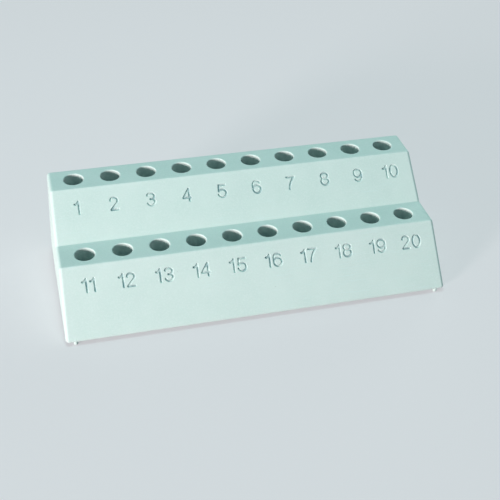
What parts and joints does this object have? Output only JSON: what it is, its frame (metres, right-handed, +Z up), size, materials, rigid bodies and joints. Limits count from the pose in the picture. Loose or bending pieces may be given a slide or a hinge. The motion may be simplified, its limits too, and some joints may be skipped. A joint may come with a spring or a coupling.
{
  "type": "microcentrifuge tube rack",
  "caption": "Two-step block rack with rows of numbered blind wells that hold small conical microcentrifuge tubes upright.",
  "frame": {"origin": "under the middle of the rack, at the level of the tips of its feet", "axes": "+X along the rows towards the higher numbers, +Y from the lower step towards the upper step and the back, +Z up"},
  "size_m": [0.2112, 0.0866, 0.0533],
  "materials": {
    "white_plastic": "satin"
  },
  "bodies": {
    "root": {"rack": "white_plastic"}
  },
  "joints": []
}
